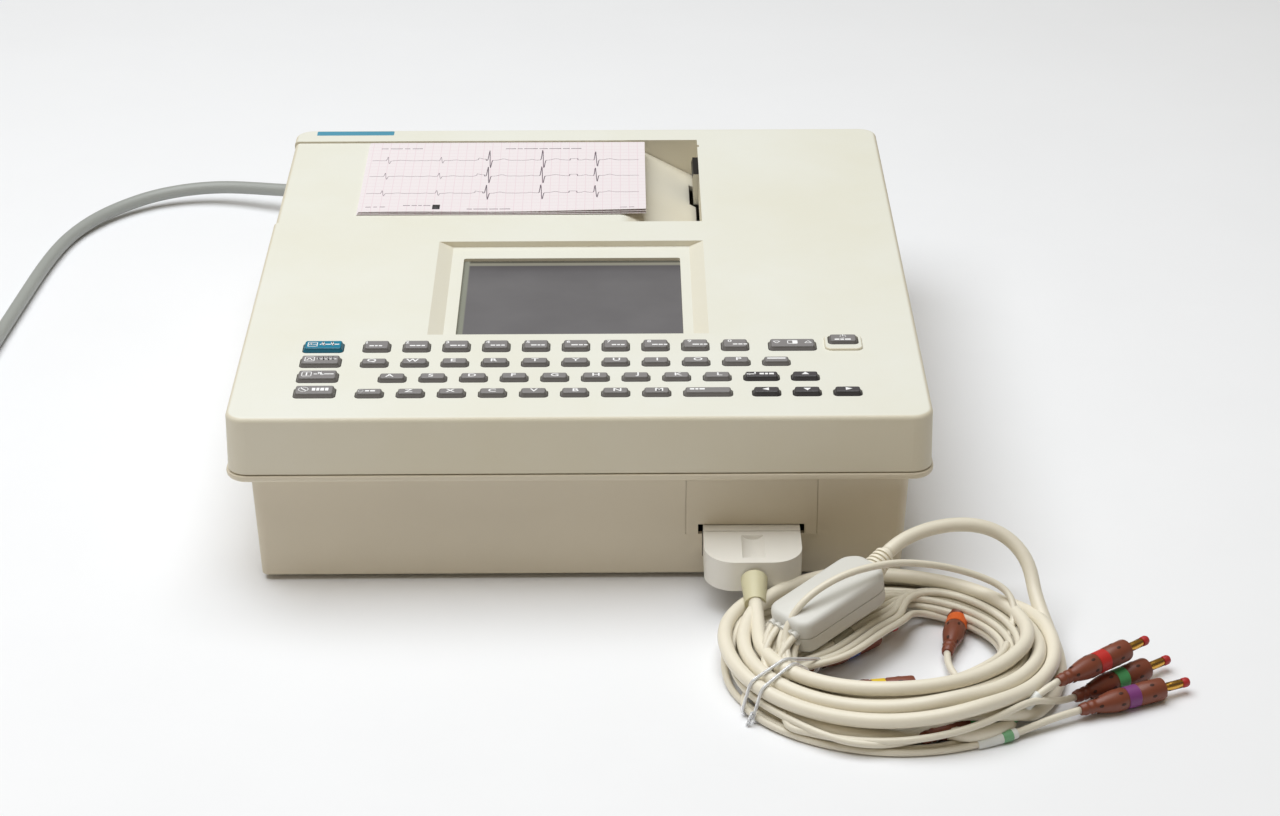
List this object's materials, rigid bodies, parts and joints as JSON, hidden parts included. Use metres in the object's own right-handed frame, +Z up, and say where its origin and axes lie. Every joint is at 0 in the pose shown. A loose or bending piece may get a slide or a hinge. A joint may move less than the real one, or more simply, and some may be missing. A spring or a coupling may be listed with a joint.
{
  "type": "ecg machine",
  "caption": "Desktop electrocardiograph with a keyboard, small display, thermal writer under a hinged paper cover, coiled patient cable with lead plugs, and mains cord.",
  "frame": {"origin": "middle of the case's footprint on the table", "axes": "+X to the user's right, +Y to the back, +Z up"},
  "size_m": [0.7558, 0.6511, 0.0998],
  "materials": {
    "shell_ivory": "fine moulded texture",
    "tub_ivory": "fine moulded texture",
    "panel_ivory": "fine moulded texture",
    "foot_rubber": "matt",
    "screw_steel": "zinc plated",
    "socket_steel": "plated shell",
    "window_glass": "clear pane",
    "lcd_grey": "satin",
    "mat_silicone": "matt silicone",
    "board_green": "solder mask",
    "supply_board": "bare laminate",
    "battery_grey": "satin",
    "inlet_black": "satin",
    "tray_cream": "satin",
    "pack_paper": "uncoated",
    "chart_paper": "thermal paper with a pink grid",
    "frame_steel": "galvanised",
    "head_ceramic": "glazed line",
    "spring_steel": "music wire",
    "motor_grey": "satin",
    "gear_acetal": "natural acetal",
    "pinion_brass": "machined",
    "platen_rubber": "ground",
    "shaft_steel": "ground",
    "cover_ivory": "fine moulded texture",
    "latch_black": "satin",
    "key_teal": "fine texture",
    "key_grey": "fine texture",
    "key_dark": "fine texture",
    "hood_grey": "satin",
    "cable_cream": "extruded jacket",
    "tie_clear": "translucent",
    "module_grey": "satin",
    "plug_brown": "satin",
    "pin_gold": "gold plated",
    "mains_grey": "extruded jacket",
    "plug_grey": "satin"
  },
  "bodies": {
    "case": {"lower_shell": "tub_ivory", "upper_shell": "shell_ivory", "rubber_feet": "foot_rubber", "case_screws": "screw_steel", "connector_panel": "panel_ivory", "patient_socket": "socket_steel", "display_window": "window_glass", "display_module": "lcd_grey", "key_mat": "mat_silicone", "keyboard_board": "board_green", "main_board": "board_green", "input_board": "board_green", "power_supply": "supply_board", "battery_pack": "battery_grey", "mains_inlet": "inlet_black", "paper_tray": "tray_cream", "paper_stack": "pack_paper", "writer_frame": "frame_steel", "print_head": "head_ceramic", "head_springs": "spring_steel", "drive_motor": "motor_grey", "latch_spring": "spring_steel", "cable_hood": "hood_grey", "cable_boot": "cable_cream", "trunk_cable": "cable_cream", "cable_coil": "cable_cream", "coil_tie": "tie_clear", "lead_module": "module_grey", "lead_wires": "cable_cream", "lead_plugs": "plug_brown", "lead_pins": "pin_gold", "mains_cable": "mains_grey", "mains_coil": "mains_grey", "mains_plug": "plug_grey", "mains_connector": "plug_grey"},
    "cover": {"paper_cover": "cover_ivory", "printed_page": "chart_paper"},
    "latch": {"cover_latch": "latch_black"},
    "platen": {"platen_roller": "platen_rubber", "platen_shaft": "shaft_steel", "platen_gear": "gear_acetal"},
    "idler": {"idler_gear": "gear_acetal"},
    "pinion": {"motor_pinion": "pinion_brass"},
    "ecg_key_body": {"ecg_key": "key_teal"},
    "rhythm_key_body": {"rhythm_key": "key_grey"},
    "manual_key_body": {"manual_key": "key_grey"},
    "stop_key_body": {"stop_key": "key_grey"},
    "standby_key_body": {"standby_key": "key_grey"},
    "contrast_key_body": {"contrast_key": "key_grey"},
    "enter_key_body": {"enter_key": "key_dark"},
    "bar_key_body": {"bar_key": "key_grey"},
    "space_key_body": {"space_key": "key_grey"},
    "up_key_body": {"up_key": "key_dark"},
    "down_key_body": {"down_key": "key_dark"},
    "left_key_body": {"left_key": "key_dark"},
    "right_key_body": {"right_key": "key_dark"},
    "digit_row": {"digit_keys": "key_grey"},
    "upper_row_row": {"upper_row_keys": "key_grey"},
    "home_row_row": {"home_row_keys": "key_grey"},
    "lower_row_row": {"lower_row_keys": "key_grey"}
  },
  "joints": [
    {"name": "cover_hinge", "type": "hinge", "parent": "case", "child": "cover", "pos_m": [-0.1689, 0.1104, 0.0928], "axis": [0, -1, 0], "range_deg": [0, 100]},
    {"name": "latch_slide", "type": "slide", "parent": "case", "child": "latch", "axis": [1, 0, 0], "range_m": [0, 0.003], "stiffness_N_per_m": 400, "deforming": ["latch_spring"]},
    {"name": "platen_spin", "type": "hinge", "parent": "case", "child": "platen", "pos_m": [0.077, 0.1104, 0.0641], "axis": [0, 1, 0], "continuous": true},
    {"name": "idler_spin", "type": "hinge", "parent": "case", "child": "idler", "pos_m": [0.091, 0.1709, 0.04749], "axis": [0, 1, 0], "continuous": true},
    {"name": "pinion_spin", "type": "hinge", "parent": "case", "child": "pinion", "pos_m": [0.1069, 0.1709, 0.04171], "axis": [0, 1, 0], "continuous": true},
    {"name": "ecg_press", "type": "slide", "parent": "case", "child": "ecg_key_body", "axis": [0, 0, -1], "range_m": [0, 0.0015], "stiffness_N_per_m": 300},
    {"name": "rhythm_press", "type": "slide", "parent": "case", "child": "rhythm_key_body", "axis": [0, 0, -1], "range_m": [0, 0.0015], "stiffness_N_per_m": 300},
    {"name": "manual_press", "type": "slide", "parent": "case", "child": "manual_key_body", "axis": [0, 0, -1], "range_m": [0, 0.0015], "stiffness_N_per_m": 300},
    {"name": "stop_press", "type": "slide", "parent": "case", "child": "stop_key_body", "axis": [0, 0, -1], "range_m": [0, 0.0015], "stiffness_N_per_m": 300},
    {"name": "standby_press", "type": "slide", "parent": "case", "child": "standby_key_body", "axis": [0, 0, -1], "range_m": [0, 0.0015], "stiffness_N_per_m": 300},
    {"name": "contrast_press", "type": "slide", "parent": "case", "child": "contrast_key_body", "axis": [0, 0, -1], "range_m": [0, 0.0015], "stiffness_N_per_m": 300},
    {"name": "enter_press", "type": "slide", "parent": "case", "child": "enter_key_body", "axis": [0, 0, -1], "range_m": [0, 0.0015], "stiffness_N_per_m": 300},
    {"name": "bar_press", "type": "slide", "parent": "case", "child": "bar_key_body", "axis": [0, 0, -1], "range_m": [0, 0.0015], "stiffness_N_per_m": 300},
    {"name": "space_press", "type": "slide", "parent": "case", "child": "space_key_body", "axis": [0, 0, -1], "range_m": [0, 0.0015], "stiffness_N_per_m": 300},
    {"name": "up_press", "type": "slide", "parent": "case", "child": "up_key_body", "axis": [0, 0, -1], "range_m": [0, 0.0015], "stiffness_N_per_m": 300},
    {"name": "down_press", "type": "slide", "parent": "case", "child": "down_key_body", "axis": [0, 0, -1], "range_m": [0, 0.0015], "stiffness_N_per_m": 300},
    {"name": "left_press", "type": "slide", "parent": "case", "child": "left_key_body", "axis": [0, 0, -1], "range_m": [0, 0.0015], "stiffness_N_per_m": 300},
    {"name": "right_press", "type": "slide", "parent": "case", "child": "right_key_body", "axis": [0, 0, -1], "range_m": [0, 0.0015], "stiffness_N_per_m": 300},
    {"name": "digit_row_press", "type": "slide", "parent": "case", "child": "digit_row", "axis": [0, 0, -1], "range_m": [0, 0.0015], "stiffness_N_per_m": 900},
    {"name": "upper_row_press", "type": "slide", "parent": "case", "child": "upper_row_row", "axis": [0, 0, -1], "range_m": [0, 0.0015], "stiffness_N_per_m": 900},
    {"name": "home_row_press", "type": "slide", "parent": "case", "child": "home_row_row", "axis": [0, 0, -1], "range_m": [0, 0.0015], "stiffness_N_per_m": 900},
    {"name": "lower_row_press", "type": "slide", "parent": "case", "child": "lower_row_row", "axis": [0, 0, -1], "range_m": [0, 0.0015], "stiffness_N_per_m": 900}
  ],
  "couplings": [
    {"joint": "idler_spin", "follows": "platen_spin", "ratio": -0.8},
    {"joint": "pinion_spin", "follows": "platen_spin", "ratio": 2}
  ]
}
